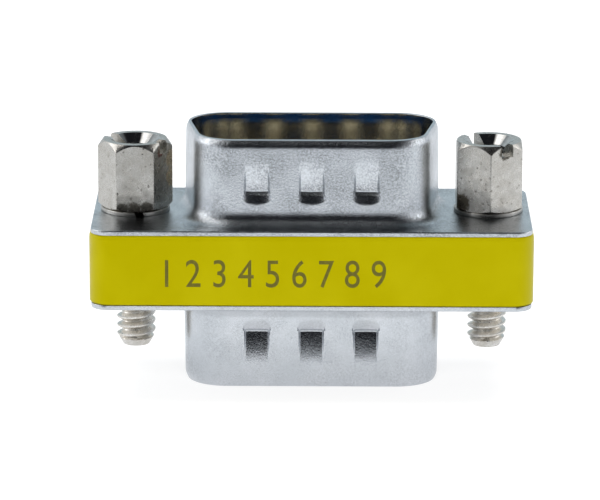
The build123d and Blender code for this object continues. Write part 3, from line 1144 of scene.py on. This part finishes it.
def screw_place(side, height, angle):
    """Place at a height on one screw's axis, turned so far from the front towards +X."""
    place = Matrix.Translation((SIDES[side] * SCREW_SPACING / 2, 0, height))
    return place @ Matrix.Rotation(math.radians(angle - 90), 4, "Z")


def add_screws(*materials):
    for side in SIDES:
        turned = screw_place(side, HEAD_SEAT, CORNER_ANGLES[side])
        blank = mesh_from(head_skin(), f"head_{side}", turned)
        head = cut_slot(blank, turned, side)
        stud = mesh_from(stud_skin(), f"stud_{side}", turned)
        # The stud takes the brighter copy of the nickel, which is painted light
        for polygon in stud.polygons:
            polygon.material_index = THREAD
        name = f"jackscrew_{side}_cut"
        piece = link(name, join_meshes(name, [head, stud]), *materials)
        shade(piece, 28.0)
        stand_for(piece, f"screw_{side}", "screw_nickel", f"jackscrew_{side}")


# Lock washers


def gap_angle(radius, offset):
    """Angle at which a plane that runs past the axis at an offset crosses a radius."""
    return math.asin(min(1.0, offset / radius))


def washer_skin():
    """Split ring on z = 0 with rolled edges, its slanted gap towards +X."""
    skin = Skin()
    middle = (WASHER_OUTER + WASHER_INNER) / 2
    wide = WASHER_OUTER - WASHER_INNER
    half_gap = WASHER_GAP / 2 / math.cos(WASHER_SLANT)
    outline = rounded_rectangle(wide, WASHER_THICKNESS, WASHER_EDGE, steps=WASHER_EDGE_STEPS)
    sections = []
    for i in range(WASHER_STEPS + 1):
        points = []
        for x, z in outline:
            radius = middle + x
            lean = z * math.tan(WASHER_SLANT)
            start = gap_angle(radius, half_gap - lean)
            end = 2 * math.pi - gap_angle(radius, half_gap + lean)
            angle = start + (end - start) * i / WASHER_STEPS
            points.append(polar(angle, radius, WASHER_THICKNESS / 2 + z))
        sections.append(skin.loop(points))
    skin.stack(sections)
    skin.fill(sections[0])
    skin.fill(sections[-1])
    return skin


def add_washers(material):
    for side in SIDES:
        turned = screw_place(side, UPPER_FLANGE, GAP_ANGLES[side])
        mesh = mesh_from(washer_skin(), f"washer_{side}", turned)
        piece = link(f"lock_washer_{side}_split", mesh, material)
        shade(piece)
        stand_for(piece, f"washer_{side}", "washer_steel", f"lock_washer_{side}")


# CAD nodes that stay


def dress(names, material):
    for name in names:
        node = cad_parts[name]
        node.data.materials.clear()
        node.data.materials.append(material)


# Studio


def add_camera():
    data = bpy.data.cameras.new("camera")
    data.lens = CAMERA_LENS
    data.sensor_width = SENSOR
    data.clip_start = 0.01
    data.clip_end = 20.0
    camera = link("camera", data)
    away = Vector((
        math.cos(CAMERA_ELEVATION) * math.sin(CAMERA_AZIMUTH),
        -math.cos(CAMERA_ELEVATION) * math.cos(CAMERA_AZIMUTH),
        math.sin(CAMERA_ELEVATION),
    ))
    turn = away.to_track_quat("Z", "Y").to_matrix().to_4x4()
    roll = Matrix.Rotation(CAMERA_ROLL, 4, "Z")
    place = Matrix.Translation((Vector(CAMERA_TARGET) + away * CAMERA_DISTANCE) * MM)
    camera.matrix_world = place @ turn @ roll
    bpy.context.scene.camera = camera


def add_lamp(name, place, size, power, glossy=True):
    """Lamp at a place in metres, turned to the object, and mirrored in it only if glossy."""
    data = bpy.data.lights.new(name, "AREA")
    data.shape = "RECTANGLE"
    data.size = size[0]
    data.size_y = size[1]
    data.energy = power
    lamp = link(name, data)
    lamp.location = place
    lamp.rotation_euler = (Vector(place) - Vector(LAMP_TARGET)).to_track_quat("Z", "Y").to_euler()
    lamp.visible_glossy = glossy


def add_lamps():
    add_lamp("overhead", (0.0, 0.22, 0.55), (0.60, 0.34), 4.3, glossy=False)
    add_lamp("side_left", (-0.5, 0.05, 0.28), (0.25, 0.35), 0.5)
    add_lamp("side_right", (0.5, 0.05, 0.26), (0.25, 0.28), 0.25)
    add_lamp("front_fill", (0.0, -0.55, 0.35), (0.5, 0.4), 2.3, glossy=False)


def glowing_surface(nodes, diffuse, glow, strength):
    """Matt surface that also glows by itself."""
    lit = nodes.add("ShaderNodeBsdfDiffuse")
    nodes.feed(diffuse, lit.inputs["Color"])
    light = nodes.add("ShaderNodeEmission")
    nodes.feed(glow, light.inputs["Color"])
    nodes.feed(strength, light.inputs["Strength"])
    both = nodes.add("ShaderNodeAddShader")
    nodes.join(lit.outputs[0], both.inputs[0])
    nodes.join(light.outputs[0], both.inputs[1])
    return both.outputs[0]


def reflected_floor(nodes):
    """Floor as the object mirrors it: dim near the camera, with bands of other glow by the object."""
    parts = nodes.add("ShaderNodeSeparateXYZ")
    nodes.join(nodes.coordinates(), parts.inputs[0])
    close = nodes.span(parts.outputs["Y"], *CLOSE_BAND, 0, 1)
    waist = nodes.span(parts.outputs["Y"], *WAIST_BAND, 0, 1)
    foot = nodes.span(parts.outputs["Y"], *FOOT_BAND, 0, 1)
    beside = nodes.span(nodes.math("ABSOLUTE", parts.outputs["X"]), *BESIDE_BAND, 0, 1)
    glow = nodes.blend(close, *GLOW)
    glow = nodes.blend(waist, glow, WAIST_GLOW)
    glow = nodes.blend(foot, glow, FOOT_GLOW)
    glow = nodes.blend(nodes.math("MULTIPLY", beside, waist), glow, BESIDE_GLOW)
    return glowing_surface(nodes, nodes.blend(close, *DIFFUSE), glow, 1.0)


def floor_material():
    """Pale floor, white to the camera but for the object's faint shadow, banded where mirrored."""
    material = bpy.data.materials.new("studio_floor")
    material.use_nodes = True
    tree = material.node_tree
    tree.nodes.clear()
    nodes = Nodes(tree)
    seen = glowing_surface(nodes, SEEN_DIFFUSE, WHITE, SEEN_GLOW_STRENGTH)
    out = nodes.add("ShaderNodeOutputMaterial")
    mixed = nodes.mix_shaders(nodes.seen_by_camera(), reflected_floor(nodes), seen)
    nodes.join(mixed, out.inputs["Surface"])
    return material


def add_floor():
    mesh = bpy.data.meshes.new("studio_floor")
    corners = rounded_rectangle(FLOOR_SIZE, FLOOR_SIZE, 0.0, steps=0)
    mesh.from_pydata(at(corners, 0), [], [(0, 1, 2, 3)])
    floor = link("studio_floor", mesh, floor_material())


def overhead_patch(nodes, parts, across, along, above):
    """1 over a patch of the room above: middle, reach and fade across and along, and a band of height."""
    wide = nodes.near(parts.outputs["X"], *across)
    deep = nodes.near(parts.outputs["Y"], *along)
    high = nodes.span(parts.outputs["Z"], *above, 0, 1)
    return nodes.math("MULTIPLY", nodes.math("MULTIPLY", wide, deep), high)


def room_light(nodes):
    """Light of the room: dark in front and above, bluish at the back and pale at the sides."""
    parts = nodes.add("ShaderNodeSeparateXYZ")
    nodes.join(nodes.add("ShaderNodeTexCoord").outputs["Generated"], parts.inputs[0])
    back = nodes.span(parts.outputs["Y"], *BACK_BAND, 0, 1)
    sideways = nodes.span(nodes.math("ABSOLUTE", parts.outputs["X"]), *SIDE_BAND, 0, 1)
    low = nodes.span(parts.outputs["Z"], *LOW_BAND, 1, 0.25)
    strip = overhead_patch(nodes, parts, (0.0, 0.07, 0.07), (-0.34, 0.03, 0.03), (0.5, 0.7))
    panel = overhead_patch(nodes, parts, (-0.50, 0.08, 0.12), (0.0, 0.30, 0.07), (0.3, 0.5))
    room = nodes.blend(back, FRONT_ROOM, BACK_ROOM)
    room = nodes.blend(nodes.math("MULTIPLY", sideways, low), room, SIDE_ROOM)
    room = nodes.blend(strip, room, STRIP_LIGHT)
    return nodes.blend(panel, room, PANEL_LIGHT)


def add_world():
    """Soft room that lights the object, with plain white where the camera looks past it."""
    world = bpy.data.worlds.new("studio")
    bpy.context.scene.world = world
    world.use_nodes = True
    tree = world.node_tree
    tree.nodes.clear()
    nodes = Nodes(tree)
    room = nodes.add("ShaderNodeBackground")
    nodes.join(room_light(nodes), room.inputs["Color"])
    white = nodes.add("ShaderNodeBackground")
    nodes.feed(WHITE, white.inputs["Color"])
    mixed = nodes.mix_shaders(nodes.seen_by_camera(), room.outputs[0], white.outputs[0])
    out = nodes.add("ShaderNodeOutputWorld")
    nodes.join(mixed, out.inputs["Surface"])


def add_object():
    washer = washer_steel()
    add_shells(upper_steel(), lower_steel(), shaded_inside_steel())
    add_band(yellow_plastic())
    add_print(dark_print())
    add_screws(screw_nickel(), bored_nickel(), lit_thread_nickel())
    add_washers(washer)
    dress(["top_insulator", "bottom_insulator"], blue_plastic())
    # The two rows of pins get copies of one gold that differ in how metallic they are: painted light and
    # shade between the rows
    dress([f"contact_{number}" for number in range(1, 6)], contact_gold("contact_gold", 0.35))
    dress([f"contact_{number}" for number in range(6, 10)], contact_gold("contact_gold_row_painted_light", 0.95))
    dress(["captive_nut_left", "captive_nut_right"], washer)


def add_studio():
    add_floor()
    add_world()
    add_lamps()
    add_camera()
    bpy.context.scene.view_settings.view_transform = "Standard"


add_object()
add_studio()
